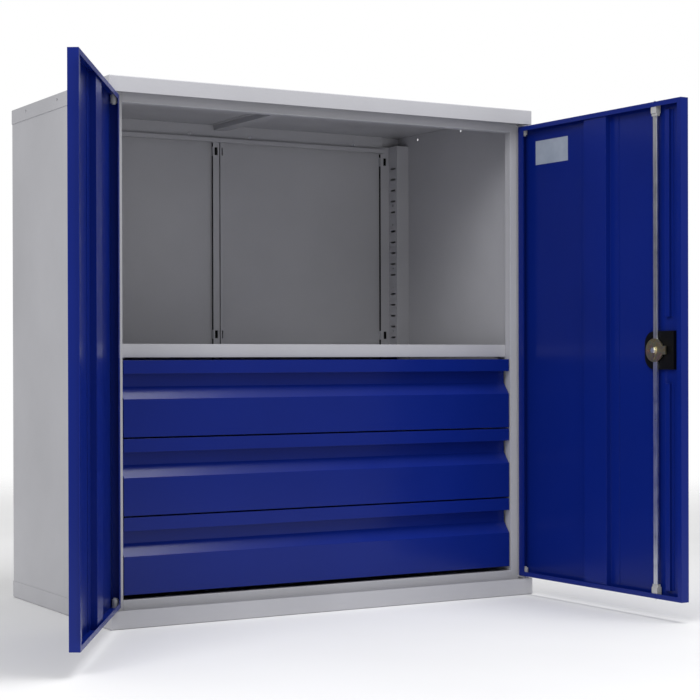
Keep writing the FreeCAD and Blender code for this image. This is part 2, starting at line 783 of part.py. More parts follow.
def catches(sign, centre):
    """Plastic catches in the front end of the travelling member."""
    near = S.inner_member_height / 2 + S.catch_gap
    far = S.middle_member_height / 2 - S.gauge
    web_face = upright_face - S.middle_member_inset - S.gauge
    across = mirrored(sign, web_face - S.inner_member_depth + S.catch_gap, web_face)
    return [
        block((across[0], slide_front, low), (across[1], slide_front + S.catch_length, high))
        for low, high in ((centre + near, centre + far), (centre - far, centre - near))
    ]


outer_members = []
for level, front_bottom in zip(DRAWERS, drawer_levels):
    slide_level = front_bottom + S.slide_centre
    keep(f"drawer_front_{level}", drawer_front(front_bottom))

    box_floor = front_bottom + S.box_bottom
    box_shell, box_hollow = tray(
        (-box_half, drawer_back, box_floor),
        (box_half, box_back, box_floor + S.box_height),
        S.gauge, "top",
    )
    keep(f"drawer_box_{level}", cut(box_shell, box_hollow))

    inner_members = []
    middle_members = []
    strips = []
    stops = []
    for sign in SIDES.values():
        outer_members.append(slide_channel(
            sign, upright_face, S.outer_member_depth, S.outer_member_height, slide_level, True))
        middle_members.append(slide_channel(
            sign, upright_face - S.middle_member_inset, S.middle_member_depth,
            S.middle_member_height, slide_level, True))
        inner_members.append(slide_channel(
            sign, box_half, S.inner_member_depth, S.inner_member_height, slide_level, False))
        strips += ball_strips(sign, slide_level)
        stops += catches(sign, slide_level)
    keep(f"slide_inner_members_{level}", group(*inner_members))
    keep(f"slide_middle_members_{level}", group(*middle_members))
    keep(f"slide_ball_strips_{level}", group(*strips))
    keep(f"slide_catches_{level}", group(*stops))
keep("slide_outer_members", group(*outer_members))


# Doors. Each is drawn shut, with its hinge pin on the Z axis, then swung open about it.
# Here "reach" is the distance from the pin towards the free edge, and Y runs inwards.

door_bottom = S.base_skirt + S.door_clearance
door_top = skirt_bottom - S.door_clearance
outer_face = -S.door_depth / 2
inner_face = S.door_depth / 2
skin = outer_face + S.gauge
door_reach = side - S.pin_inset - S.door_meeting_gap / 2
pin_y = front + S.door_depth / 2
lock_reach = door_reach - S.lock_inset
case_inside = outer_face + S.case_depth
rod_front = case_inside + S.rod_gap
rod_back = rod_front + S.rod_thickness
lock_level = (door_bottom + door_top) / 2


def reach_span(sign, near, far):
    """The X values of a span measured from the hinge pin towards the door's free edge."""
    return mirrored(-sign, near, far)


def door_block(sign, near, far, low_y, high_y, low_z, high_z):
    across = reach_span(sign, near, far)
    return block((across[0], low_y, low_z), (across[1], high_y, high_z))


def hat_rib(sign, start, foot_width, crown_width, rib_depth, low_z, high_z):
    """A hat-shaped rib on the inside of the door's skin."""
    rise = start + foot_width
    fall = rise + crown_width
    end = fall + foot_width
    outline = bent(-sign, [
        (start, skin),
        (rise + S.gauge, skin),
        (rise + S.gauge, skin + rib_depth - S.gauge),
        (fall - S.gauge, skin + rib_depth - S.gauge),
        (fall - S.gauge, skin),
        (end, skin),
        (end, skin + S.gauge),
        (fall, skin + S.gauge),
        (fall, skin + rib_depth),
        (rise, skin + rib_depth),
        (rise, skin + S.gauge),
        (start, skin + S.gauge),
    ])
    return profile("XY_Plane", outline, (ZERO, ZERO, low_z), high_z - low_z)


def case_block(sign, margin, low_y, high_y):
    """The lock case's outline, round at the hinge end, as thick as it is asked for."""
    near = lock_reach - S.case_left - margin
    body = door_block(
        sign, near, lock_reach + S.case_right + margin, low_y, high_y,
        lock_level - S.case_half_height - margin, lock_level + S.case_half_height + margin,
    )
    near_x = -sign * near.value

    def at_round_end(start, end):
        crosswise = abs(start.z - end.z) + abs(start.x - end.x) < S.gauge.value
        return crosswise and abs(start.x - near_x) < S.gauge.value

    return rounded(body, S.case_round, at_round_end)


def rod_opening(sign, low_z, high_z):
    """Room for a rod to pass, with the guide's gap around it."""
    half = S.rod_width / 2 + S.guide_gap
    low_y = rod_front - S.guide_gap
    high_y = rod_back + S.guide_gap
    return door_block(sign, lock_reach - half, lock_reach + half, low_y, high_y, low_z, high_z)


def door_panel(sign, extra_tools):
    """The door's folded pan: skin, four flanges and a lip around its inner side."""
    pan_block = door_block(sign, -S.hinge_edge, door_reach, outer_face, inner_face, door_bottom, door_top)
    room = door_block(
        sign, S.gauge - S.hinge_edge, door_reach - S.gauge, skin, inner_face - S.gauge,
        door_bottom + S.gauge, door_top - S.gauge,
    )
    window = door_block(
        sign, S.hinge_lip - S.hinge_edge, door_reach - S.free_lip, ZERO, inner_face + S.cut_overrun,
        door_bottom + S.end_lip, door_top - S.end_lip,
    )
    bore = round_bar(
        (ZERO, ZERO, door_bottom - S.cut_overrun), S.bush_radius,
        door_top - door_bottom + S.cut_overrun * 2,
    )
    return cut(pan_block, joined(room, window), bore, *extra_tools)


def hinge_bushes():
    """A collared bush in the door's top flange and one in its bottom flange."""
    bushes = []
    for collar_start, bush_start in (
        (door_top, door_top - S.bush_length),
        (door_bottom - S.collar_thickness, door_bottom),
    ):
        sleeve = round_bar((ZERO, ZERO, bush_start), S.bush_radius, S.bush_length)
        collar = round_bar((ZERO, ZERO, collar_start), S.collar_radius, S.collar_thickness)
        bore = round_bar(
            (ZERO, ZERO, bush_start - S.cut_overrun), S.pin_radius + S.pin_clearance,
            S.bush_length + S.cut_overrun * 2,
        )
        bushes.append(cut(joined(sleeve, collar), bore))
    return group(*bushes)


edge_rib_sizes = (door_reach - S.edge_rib_inset, S.edge_rib_foot, S.edge_rib_crown, S.edge_rib_depth)
rib_sizes = (S.rib_start, S.rib_foot, S.rib_crown, S.rib_depth)
rib_low = door_bottom + S.gauge
rib_high = door_top - S.gauge
edge_low = rib_low + S.edge_rib_end
edge_high = rib_high - S.edge_rib_end

# Left door, with the strip that the right door shuts over
left = SIDES["left"]
keep("left_door_panel", door_panel(left, []), left)
keep("left_door_rib", hat_rib(left, *rib_sizes, rib_low, rib_high), left)
keep("left_door_edge_rib", hat_rib(left, *edge_rib_sizes, edge_low, edge_high), left)
keep("left_door_hinge_bushes", hinge_bushes(), left)
strip_end = door_reach + S.door_meeting_gap / 2 + S.strip_reach
strip_outline = bent(-left, [
    (door_reach - S.strip_seat, inner_face),
    (door_reach - S.gauge, inner_face),
    (door_reach, inner_face + S.strip_joggle),
    (strip_end, inner_face + S.strip_joggle),
    (strip_end, inner_face + S.strip_joggle + S.gauge),
    (door_reach - S.gauge, inner_face + S.strip_joggle + S.gauge),
    (door_reach - S.gauge * 2, inner_face + S.gauge),
    (door_reach - S.strip_seat, inner_face + S.gauge),
])
keep("left_door_stop_strip", profile(
    "XY_Plane", strip_outline, (ZERO, ZERO, edge_low), edge_high - edge_low), left)

# Right door, with the lock case, the rods' openings and the bare label plate
right = SIDES["right"]
case_hole = case_block(right, S.case_gap, outer_face - S.cut_overrun, skin + S.cut_overrun)
rod_gate = rod_opening(right, door_bottom - S.cut_overrun, door_top + S.cut_overrun)
keep("right_door_panel", door_panel(right, [case_hole, rod_gate]), right)
keep("right_door_rib", hat_rib(right, *rib_sizes, rib_low, rib_high), right)
keep("right_door_edge_ribs", group(
    hat_rib(right, *edge_rib_sizes, edge_low, lock_level - S.edge_rib_stop),
    hat_rib(right, *edge_rib_sizes, lock_level + S.edge_rib_stop, edge_high),
), right)
keep("right_door_hinge_bushes", hinge_bushes(), right)
keep("label_plate", door_block(
    right, S.label_start, S.label_start + S.label_width, skin, skin + S.label_thickness,
    door_top - S.label_drop - S.label_height, door_top - S.label_drop,
), right)


# Lock case with its finger pocket, cylinder, cam disc and nut

bezel_face = outer_face - S.bezel_proud
lock_x = -lock_reach
pocket = door_block(
    right, lock_reach + S.pocket_start, lock_reach + S.pocket_end,
    bezel_face - S.cut_overrun, case_inside - S.pocket_floor,
    lock_level - S.pocket_half_height, lock_level + S.pocket_half_height,
)
plug_bore = round_bar(
    (lock_x, bezel_face - S.cut_overrun, lock_level), S.plug_radius + S.plug_clearance,
    case_inside - bezel_face + S.cut_overrun * 2, "y",
)
case_solid = joined(
    case_block(right, ZERO, outer_face, case_inside),
    case_block(right, S.bezel_margin, bezel_face, outer_face),
)
keep("lock_case", cut(case_solid, pocket, plug_bore), right)

head_start = bezel_face - S.plug_head_gap - S.plug_head
cam_start = rod_back + S.cam_gap
cam_top = cam_start + S.cam_thickness
hub_top = cam_top + S.hub_height
nut_top = hub_top + S.nut_height
keyway = block(
    (lock_x - S.keyway_width / 2, head_start - S.cut_overrun, lock_level - S.keyway_height / 2),
    (lock_x + S.keyway_width / 2, head_start + S.keyway_depth, lock_level + S.keyway_height / 2),
)
plug_solid = joined(
    round_bar((lock_x, head_start, lock_level), S.plug_head_radius, S.plug_head, "y"),
    round_bar((lock_x, head_start, lock_level), S.plug_radius, case_inside - head_start, "y"),
    round_bar((lock_x, head_start, lock_level), S.shaft_radius, nut_top + S.shaft_end - head_start, "y"),
)
keep("lock_cylinder", cut(plug_solid, keyway), right)

throw_across = S.cam_pin_throw.scaled_by("cos", S.cam_half_turn)
throw_up = S.cam_pin_throw.scaled_by("sin", S.cam_half_turn)
upper_pin_reach = lock_reach + throw_across
upper_pin_level = lock_level - throw_up
lower_pin_reach = lock_reach - throw_across
lower_pin_level = lock_level + throw_up
pins = ((upper_pin_reach, upper_pin_level), (lower_pin_reach, lower_pin_level))
head_front = rod_back - S.head_thickness
pin_start = head_front - S.cam_pin_play
cam_solid = joined(
    round_bar((lock_x, cam_start, lock_level), S.cam_radius, S.cam_thickness, "y"),
    round_bar((lock_x, cam_start, lock_level), S.hub_radius, hub_top - cam_start, "y"),
    door_block(
        right, lock_reach, lock_reach + S.lug_reach, cam_start, cam_top,
        lock_level - S.lug_half, lock_level + S.lug_half,
    ),
    *[
        round_bar((-reach, pin_start, level), S.cam_pin_radius, cam_top - pin_start, "y")
        for reach, level in pins
    ],
)
cam_tools = [
    round_bar((-reach, cam_start - S.cut_overrun, level), radius, S.cut_overrun * 3, "y")
    for reach, level, radius in (
        (lock_reach, lock_level, S.shaft_radius),
        (lock_reach - S.cam_hole_throw, lock_level, S.cam_hole_radius),
        (lock_reach, lock_level + S.cam_hole_throw, S.cam_hole_radius),
        (lock_reach, lock_level - S.cam_hole_throw, S.cam_hole_radius),
    )
]
keep("lock_cam_disc", cut(cam_solid, *cam_tools), right)

nut_blank = doc.addObject("Part::Prism", "nut_blank")
nut_blank.Polygon = 6
nut_blank.setExpression("Circumradius", S.nut_radius.formula)
nut_blank.setExpression("Height", S.nut_height.formula)
nut_blank.Placement = Placement(Vector(), TURNS["y"])
bind_base(nut_blank, (lock_x, hub_top, lock_level))
nut_bore = round_bar((lock_x, hub_top - S.cut_overrun, lock_level), S.shaft_radius, S.cut_overrun * 2, "y")
keep("lock_cam_nut", cut(nut_blank, nut_bore), right)


# Lock rods: flat bars in line with the lock, whose flattened ends ride on the cam pins behind the disc

pin_room = S.cam_pin_radius + S.slot_end_play
slot_half = S.cam_pin_radius + S.slot_play
head_inner = throw_across - pin_room - S.head_margin
head_outer = S.cam_pin_throw + pin_room + S.head_margin
head_end = throw_up + slot_half + S.head_margin
rod_half = S.rod_width / 2


def rod_head(turn):
    """A rod's flattened end. The lower rod's is the upper one's, given half a turn about the lock."""
    corners = [
        (head_inner, -head_end),
        (head_outer, -head_end),
        (head_outer, S.cam_pin_throw),
        (rod_half, S.rod_bar_start),
        (rod_half, S.rod_bar_start + S.rod_chamfer),
        (-rod_half, S.rod_bar_start + S.rod_chamfer),
        (-rod_half, head_end + S.head_gap),
        (head_inner, head_end + S.head_gap),
    ]
    outline = bent(-right, [(lock_reach + across * turn, lock_level + up * turn) for across, up in corners])
    return profile("XZ_Plane", outline, (ZERO, head_front, ZERO), S.head_thickness)


def pin_slot(reach_low, reach_high, level):
    """A level slot that lets a cam pin pass from side to side."""
    return door_block(
        right, reach_low - pin_room, reach_high + pin_room,
        head_front - S.cut_overrun, rod_back + S.cut_overrun, level - slot_half, level + slot_half,
    )


def bar(turn, tip):
    """The full bar of a rod, with its tip's corners taken off."""
    near = lock_reach - rod_half
    far = lock_reach + rod_half
    start = lock_level + S.rod_bar_start * turn
    shoulder = tip - S.rod_chamfer * turn
    outline = bent(-right, [
        (near, start),
        (far, start),
        (far, shoulder),
        (far - S.rod_chamfer, tip),
        (near + S.rod_chamfer, tip),
        (near, shoulder),
    ])
    return profile("XZ_Plane", outline, (ZERO, rod_front, ZERO), S.rod_thickness)


keep("lock_rod_upper", cut(
    joined(rod_head(UPWARD), bar(UPWARD, door_top + S.rod_tip_proud)),
    pin_slot(upper_pin_reach, lock_reach + S.cam_pin_throw, upper_pin_level),
), right)
rod_holes = [
    round_bar(
        (lock_x, rod_front - S.cut_overrun, lock_level - S.rod_hole_drop - S.rod_hole_pitch * step),
        S.rod_hole_radius, S.rod_thickness + S.cut_overrun * 2, "y",
    )
    for step in range(2)
]
keep("lock_rod_lower", cut(
    joined(rod_head(DOWNWARD), bar(DOWNWARD, door_bottom - S.rod_tip_proud)),
    pin_slot(lock_reach - S.cam_pin_throw, lower_pin_reach, lower_pin_level),
    *rod_holes,
), right)

guide_back = inner_face - S.gauge
guide_front = guide_back - S.guide_depth
guides = []
for flange, turn in ((door_bottom + S.gauge, UPWARD), (door_top - S.gauge, DOWNWARD)):
    step = flange + S.guide_height * turn
    end = step + S.guide_neck * turn
    sleeves = []
    for start, finish, inset in ((flange, step, ZERO), (step, end, S.guide_neck_inset)):
        low, high = (start, finish) if turn > 0 else (finish, start)
        sleeves.append(door_block(
            right, lock_reach - S.guide_width / 2, lock_reach + S.guide_width / 2,
            guide_front + inset, guide_back - inset, low, high,
        ))
    low, high = (flange, end) if turn > 0 else (end, flange)
    guides.append(cut(joined(*sleeves), rod_opening(right, low - S.cut_overrun, high + S.cut_overrun)))
keep("rod_guides", group(*guides), right)


# Hinge brackets: a plate with a fixed pin, and a tab screwed to the front post

def hinge_bracket(sign, upward):
    """The bracket above a door when upward holds, or the one below it."""
    pin_x = (side - S.pin_inset) * sign
    low_x = pin_x - S.hinge_plate_half
    high_x = pin_x + S.hinge_plate_half
    gap = S.collar_thickness + S.hinge_gap
    if upward:
        plate_low = door_top + gap
        pin_start = plate_low - S.pin_length
        tab_low = plate_low
        screw_level = plate_low + S.hinge_tab - S.hinge_screw_radius * 2
    else:
        plate_low = door_bottom - gap - S.hinge_plate
        pin_start = plate_low
        tab_low = plate_low + S.hinge_plate - S.hinge_tab
        screw_level = tab_low + S.hinge_screw_radius * 2
    plate_high = plate_low + S.hinge_plate
    tab_front = frame_front - S.hinge_tab_thickness
    bracket = joined(
        block((low_x, pin_y, plate_low), (high_x, frame_front, plate_high)),
        round_bar((pin_x, pin_y, plate_low), S.hinge_plate_half, S.hinge_plate),
        block((low_x, tab_front, tab_low), (high_x, frame_front, tab_low + S.hinge_tab)),
        round_bar((pin_x, pin_y, pin_start), S.pin_radius, S.pin_length + S.hinge_plate),
    )
    screw = round_bar(
        (pin_x, tab_front - S.hinge_screw_head, screw_level),
        S.hinge_screw_radius, S.hinge_screw_head, "y",
    )
    return bracket, screw


screws = []
for name, sign in SIDES.items():
    pairs = [hinge_bracket(sign, upward) for upward in (True, False)]
    keep(f"hinge_brackets_{name}", group(*[bracket for bracket, _ in pairs]))
    screws += [screw for _, screw in pairs]
keep("hinge_screws", group(*screws))


# Every object and sub-part is checked before anything is written

doc.recompute()
faults = [item.Name for item in doc.Objects if {"Invalid", "Error"} & set(item.State)]
if faults:
    raise RuntimeError(f"objects that failed to build: {faults}")
for node in NODES:
    if node.Shape.isNull() or not node.Shape.isValid() or not node.Shape.Solids:
        raise RuntimeError(f"{node.Label} is not a valid solid")

os.makedirs("parts", exist_ok=True)
for node in NODES:
    node.Shape.exportStep(f"parts/{node.Label}.step")
    print(f"{node.Label}: {len(node.Shape.Solids)} solids, {node.Shape.Volume:.0f} cubic mm")
print(f"{len(NODES)} sub-parts")
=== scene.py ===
import json
import math

import bmesh
import bpy
from mathutils import Matrix, Vector

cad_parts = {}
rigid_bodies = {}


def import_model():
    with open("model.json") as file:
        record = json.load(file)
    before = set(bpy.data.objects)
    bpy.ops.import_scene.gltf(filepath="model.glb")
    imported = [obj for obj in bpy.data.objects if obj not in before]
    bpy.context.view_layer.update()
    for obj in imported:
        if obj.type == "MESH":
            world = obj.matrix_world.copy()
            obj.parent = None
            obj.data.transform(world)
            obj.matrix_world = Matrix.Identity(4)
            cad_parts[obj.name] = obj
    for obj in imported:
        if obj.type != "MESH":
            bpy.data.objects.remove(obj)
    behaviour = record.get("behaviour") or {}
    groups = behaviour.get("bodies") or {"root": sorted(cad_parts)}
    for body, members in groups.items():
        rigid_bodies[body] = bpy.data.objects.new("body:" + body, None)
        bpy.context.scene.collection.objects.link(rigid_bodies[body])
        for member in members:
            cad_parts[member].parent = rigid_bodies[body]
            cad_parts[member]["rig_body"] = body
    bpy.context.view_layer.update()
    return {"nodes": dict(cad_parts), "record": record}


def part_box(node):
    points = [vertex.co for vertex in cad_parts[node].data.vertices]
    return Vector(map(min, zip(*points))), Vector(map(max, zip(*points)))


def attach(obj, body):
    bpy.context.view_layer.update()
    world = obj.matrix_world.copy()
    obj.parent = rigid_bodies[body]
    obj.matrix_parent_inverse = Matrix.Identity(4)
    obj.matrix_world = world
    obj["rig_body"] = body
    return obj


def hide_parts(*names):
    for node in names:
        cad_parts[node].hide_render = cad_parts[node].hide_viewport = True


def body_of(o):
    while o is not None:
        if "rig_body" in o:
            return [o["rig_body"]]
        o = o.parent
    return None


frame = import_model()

MM = 0.001
NODES = frame["nodes"]
SLOT_OF = {part["node"]: part["material_slot"] for part in frame["record"]["subparts"]}
LEVELS = ("bottom", "middle", "top")
WELD_DISTANCE = 0.01 * MM
TOWARDS_FRONT = (0, -1, 0)


# Node materials: noise scales are per metre, and a bump is its strength and its depth in metres

MID_NOISE = (0.3, 0.7)

class Shader:
    """A material's node tree, with short calls for the nodes used here."""

    def __init__(self, name):
        self.material = bpy.data.materials.new(name)
        self.material.use_nodes = True
        self.tree = self.material.node_tree
        self.principled = self.tree.nodes["Principled BSDF"]
        self.place = self.add("ShaderNodeTexCoord").outputs["Object"]

    def add(self, kind, **values):
        node = self.tree.nodes.new(kind)
        for key, value in values.items():
            setattr(node, key, value)
        return node

    def link(self, start, end):
        self.tree.links.new(start, end)

    def stretched(self, scale):
        """The object's coordinates, scaled along each axis."""
        mapping = self.add("ShaderNodeMapping")
        mapping.inputs["Scale"].default_value = scale
        self.link(self.place, mapping.inputs["Vector"])
        return mapping.outputs["Vector"]

    def noise(self, scale, detail=3.0, place=None, distortion=0.0):
        node = self.add("ShaderNodeTexNoise")
        node.inputs["Scale"].default_value = scale
        node.inputs["Detail"].default_value = detail
        node.inputs["Distortion"].default_value = distortion
        self.link(place or self.place, node.inputs["Vector"])
        return node.outputs["Fac"]

    def ramp(self, factor, stops):
        """A colour ramp through (position, colour) stops."""
        node = self.add("ShaderNodeValToRGB")
        elements = node.color_ramp.elements
        while len(elements) < len(stops):
            elements.new(1.0)
        for element, (position, colour) in zip(elements, stops):
            element.position = position
            element.color = (*colour, 1.0)
        self.link(factor, node.inputs["Fac"])
        return node.outputs["Color"]

    def spread(self, factor, low, high, span=MID_NOISE):
        """A number between low and high, as the factor goes through the span."""
        node = self.add("ShaderNodeMapRange")
        for key, value in (("From Min", span[0]), ("From Max", span[1]), ("To Min", low), ("To Max", high)):
            node.inputs[key].default_value = value
        self.link(factor, node.inputs["Value"])
        return node.outputs["Result"]

    def bump(self, *layers):
        """One bump over another: each layer is a height and its bump."""
        normal = None
        for height, (strength, depth) in layers:
            node = self.add("ShaderNodeBump")
            node.inputs["Strength"].default_value = strength
            node.inputs["Distance"].default_value = depth
            self.link(height, node.inputs["Height"])
            if normal:
                self.link(normal, node.inputs["Normal"])
            normal = node.outputs["Normal"]
        self.link(normal, self.principled.inputs["Normal"])
        self.link(normal, self.principled.inputs["Coat Normal"])

    def set(self, **values):
        for key, value in values.items():
            self.principled.inputs[key.replace("_", " ")].default_value = value

    def drive(self, **links):
        for key, output in links.items():
            self.link(output, self.principled.inputs[key.replace("_", " ")])


def tinted(colour, share):
    """A colour made lighter or darker by a share of itself."""
    return tuple(min(1.0, channel * share) for channel in colour)


PAINT_CLOUD_SCALE = 3.2
PAINT_GRAIN_SCALE = 900.0
PAINT_PEEL_SCALE = 330.0
PAINT_PEEL_DISTORTION = 0.4
PAINT_GLOSS_SCALE = 14.0
PAINT_GRAIN_SHARE = 0.35
PAINT_TONES = ((0.40, 0.90), (0.68, 1.0), (1.0, 1.10))
PAINT_ROUGHNESS_BELOW = 0.05
PAINT_ROUGHNESS_ABOVE = 0.07
PAINT_COAT_ROUGHNESS = 0.17
PAINT_PEEL_BUMP = (0.30, 0.00022)
PAINT_GRAIN_BUMP = (0.14, 0.00007)


def powder_coat(name, colour, roughness, gloss, coat):
    """Powder coat: orange peel, a finer grain under it and slight unevenness of tone and gloss."""
    s = Shader(name)
    clouds = s.noise(PAINT_CLOUD_SCALE, detail=4.0)
    grain = s.noise(PAINT_GRAIN_SCALE, detail=2.0)
    peel = s.noise(PAINT_PEEL_SCALE, distortion=PAINT_PEEL_DISTORTION)
    mixed = s.add("ShaderNodeMath", operation="MULTIPLY_ADD")
    s.link(grain, mixed.inputs[0])
    mixed.inputs[1].default_value = PAINT_GRAIN_SHARE
    s.link(clouds, mixed.inputs[2])
    tones = [(position, tinted(colour, share)) for position, share in PAINT_TONES]
    s.drive(Base_Color=s.ramp(mixed.outputs[0], tones))
    s.drive(Roughness=s.spread(
        s.noise(PAINT_GLOSS_SCALE, detail=5.0),
        roughness - PAINT_ROUGHNESS_BELOW, roughness + PAINT_ROUGHNESS_ABOVE))
    s.set(Coat_Weight=coat, Coat_Roughness=PAINT_COAT_ROUGHNESS, Specular_IOR_Level=gloss)
    s.bump((peel, PAINT_PEEL_BUMP), (grain, PAINT_GRAIN_BUMP))
    return s.material


PLATE_CLOUD_SCALE = 45.0
PLATE_SCRATCH_SCALE = 600.0
PLATE_STREAK_SHARE = 0.6
PLATE_CLOUD_SHARE = 0.45
PLATE_DARK_PLACE = 0.34
PLATE_LIGHT_PLACE = 0.52
PLATE_BRIGHT_PLACE = 0.70
PLATE_BRIGHT_SHARE = 1.08
PLATE_ROUGHNESS_BELOW = 0.08
PLATE_ROUGHNESS_ABOVE = 0.12
PLATE_STREAK_BUMP = (0.12, 0.00005)
PLATE_SCRATCH_BUMP = (0.06, 0.00004)


def plated(name, light, dark, roughness, streak_scale):
    """Zinc plate or bare steel: rolled streaks, cloudy tone and small scratches."""
    s = Shader(name)
    streaks = s.noise(1.0, detail=6.0, place=s.stretched(streak_scale))
    clouds = s.noise(PLATE_CLOUD_SCALE, detail=4.0)
    both = s.add("ShaderNodeMath", operation="MULTIPLY_ADD")
    s.link(streaks, both.inputs[0])
    both.inputs[1].default_value = PLATE_STREAK_SHARE
    half = s.add("ShaderNodeMath", operation="MULTIPLY")
    s.link(clouds, half.inputs[0])
    half.inputs[1].default_value = PLATE_CLOUD_SHARE
    s.link(half.outputs[0], both.inputs[2])
    s.drive(Base_Color=s.ramp(both.outputs[0], [
        (PLATE_DARK_PLACE, dark), (PLATE_LIGHT_PLACE, light),
        (PLATE_BRIGHT_PLACE, tinted(light, PLATE_BRIGHT_SHARE))]))
    s.drive(Roughness=s.spread(
        both.outputs[0], roughness - PLATE_ROUGHNESS_BELOW, roughness + PLATE_ROUGHNESS_ABOVE))
    s.set(Metallic=1.0)
    s.bump((streaks, PLATE_STREAK_BUMP), (s.noise(PLATE_SCRATCH_SCALE, detail=2.0), PLATE_SCRATCH_BUMP))
    return s.material


RAINBOW_SCALE = 70.0
RAINBOW_DISTORTION = 1.6
RAINBOW_TONES = (
    (0.30, (0.55, 0.40, 0.18)), (0.45, (0.62, 0.52, 0.28)), (0.52, (0.46, 0.48, 0.30)),
    (0.60, (0.58, 0.36, 0.26)), (0.72, (0.66, 0.56, 0.34)),
)
RAINBOW_ROUGHNESS = (0.26, 0.42)
RAINBOW_GLOSS_SCALE = 160.0
RAINBOW_GRAIN_SCALE = 500.0
RAINBOW_BUMP = (0.10, 0.00006)


def passivated(name):
    """Yellow passivated zinc, with its faint rainbow bands."""
    s = Shader(name)
    bands = s.noise(RAINBOW_SCALE, distortion=RAINBOW_DISTORTION)
    s.drive(Base_Color=s.ramp(bands, RAINBOW_TONES))
    s.drive(Roughness=s.spread(s.noise(RAINBOW_GLOSS_SCALE, detail=4.0), *RAINBOW_ROUGHNESS))
    s.set(Metallic=1.0)
    s.bump((s.noise(RAINBOW_GRAIN_SCALE), RAINBOW_BUMP))
    return s.material


PLASTIC_FLOW_SCALE = 24.0
PLASTIC_TONES = ((0.3, 0.82), (0.55, 1.0), (0.8, 1.2))
PLASTIC_GLOSS_SCALE = 260.0
PLASTIC_ROUGHNESS_BELOW = 0.06
PLASTIC_ROUGHNESS_ABOVE = 0.08
PLASTIC_GRAIN_SCALE = 1300.0
PLASTIC_BUMP = (0.22, 0.00006)


def moulded(name, colour, roughness, gloss):
    """Moulded plastic with a spark-eroded texture and a trace of flow in its tone."""
    s = Shader(name)
    tones = [(position, tinted(colour, share)) for position, share in PLASTIC_TONES]
    s.drive(Base_Color=s.ramp(s.noise(PLASTIC_FLOW_SCALE), tones))
    s.drive(Roughness=s.spread(
        s.noise(PLASTIC_GLOSS_SCALE, detail=2.0),
        roughness - PLASTIC_ROUGHNESS_BELOW, roughness + PLASTIC_ROUGHNESS_ABOVE))
    s.set(Specular_IOR_Level=gloss)
    s.bump((s.noise(PLASTIC_GRAIN_SCALE, detail=2.0), PLASTIC_BUMP))
    return s.material


FOIL_TONE_SCALE = 30.0
FOIL_TONES = ((0.3, (0.33, 0.38, 0.47)), (0.6, (0.39, 0.44, 0.53)), (0.85, (0.45, 0.50, 0.58)))
FOIL_GLOSS_SCALE = 8.0
FOIL_ROUGHNESS = (0.28, 0.40)
FOIL_RIPPLE_SCALE = 40.0
FOIL_RIPPLE_BUMP = (0.10, 0.0001)
FOIL_GRAIN_SCALE = 1500.0
FOIL_GRAIN_BUMP = (0.05, 0.00003)


def foil(name):
    """A plain silvery label foil with a slight ripple and a fine grain."""
    s = Shader(name)
    s.drive(Base_Color=s.ramp(s.noise(FOIL_TONE_SCALE, detail=2.0), FOIL_TONES))
    s.drive(Roughness=s.spread(s.noise(FOIL_GLOSS_SCALE), *FOIL_ROUGHNESS))
    s.set(Metallic=0.15, Coat_Weight=0.3, Coat_Roughness=0.12)
    s.bump(
        (s.noise(FOIL_RIPPLE_SCALE, detail=2.0), FOIL_RIPPLE_BUMP),
        (s.noise(FOIL_GRAIN_SCALE, detail=1.0), FOIL_GRAIN_BUMP))
    return s.material


BLUE = (0.0032, 0.0145, 0.175)
GREY = (0.45, 0.45, 0.476)
BRIGHT_ZINC = ((0.84, 0.85, 0.87), (0.60, 0.61, 0.63))
SLIDE_ZINC = ((0.55, 0.56, 0.58), (0.30, 0.31, 0.33))
BALL_STEEL = ((0.60, 0.60, 0.61), (0.40, 0.40, 0.41))
BLACK = (0.004, 0.004, 0.0045)
NYLON = (0.46, 0.46, 0.46)
UPRIGHT_STREAKS = (900.0, 900.0, 18.0)
DEPTH_STREAKS = (900.0, 14.0, 900.0)
EVEN_STREAKS = (300.0, 300.0, 300.0)
FINISHES = {
    "blue_powder_coat": powder_coat("blue powder coat", BLUE, roughness=0.36, gloss=0.08, coat=0.26),
    "grey_powder_coat": powder_coat("grey powder coat", GREY, roughness=0.44, gloss=0.3, coat=0.12),
    "zinc": plated("bright zinc", *BRIGHT_ZINC, roughness=0.34, streak_scale=UPRIGHT_STREAKS),
    "slide_zinc": plated("slide zinc", *SLIDE_ZINC, roughness=0.32, streak_scale=DEPTH_STREAKS),
    "yellow_zinc": passivated("yellow passivated zinc"),
    "ball_steel": plated("ball steel", *BALL_STEEL, roughness=0.18, streak_scale=EVEN_STREAKS),
    "black_plastic": moulded("black plastic", BLACK, roughness=0.42, gloss=0.2),
    "grey_nylon": moulded("grey nylon", NYLON, roughness=0.48, gloss=0.4),
    "label_foil": foil("label foil"),
}


# The CAD nodes keep their shape, get their finish and lose their knife edges

def softening():
    """A node group that joins the imported triangles and drops their stored normals, ready for a bevel."""
    tree = bpy.data.node_groups.new("join faces", "GeometryNodeTree")
    tree.interface.new_socket("Geometry", in_out="INPUT", socket_type="NodeSocketGeometry")
    tree.interface.new_socket("Geometry", in_out="OUTPUT", socket_type="NodeSocketGeometry")
    start = tree.nodes.new("NodeGroupInput")
    normals = tree.nodes.new("GeometryNodeRemoveAttribute")
    normals.inputs["Name"].default_value = "custom_normal"
    sharp = tree.nodes.new("GeometryNodeRemoveAttribute")
    sharp.inputs["Name"].default_value = "sharp_edge"
    weld = tree.nodes.new("GeometryNodeMergeByDistance")
    weld.inputs["Distance"].default_value = WELD_DISTANCE
    smooth = tree.nodes.new("GeometryNodeSetShadeSmooth")
    end = tree.nodes.new("NodeGroupOutput")
    chain = [start, normals, sharp, weld, smooth, end]
    for source, target in zip(chain, chain[1:]):
        tree.links.new(source.outputs[0], target.inputs[0])
    return tree


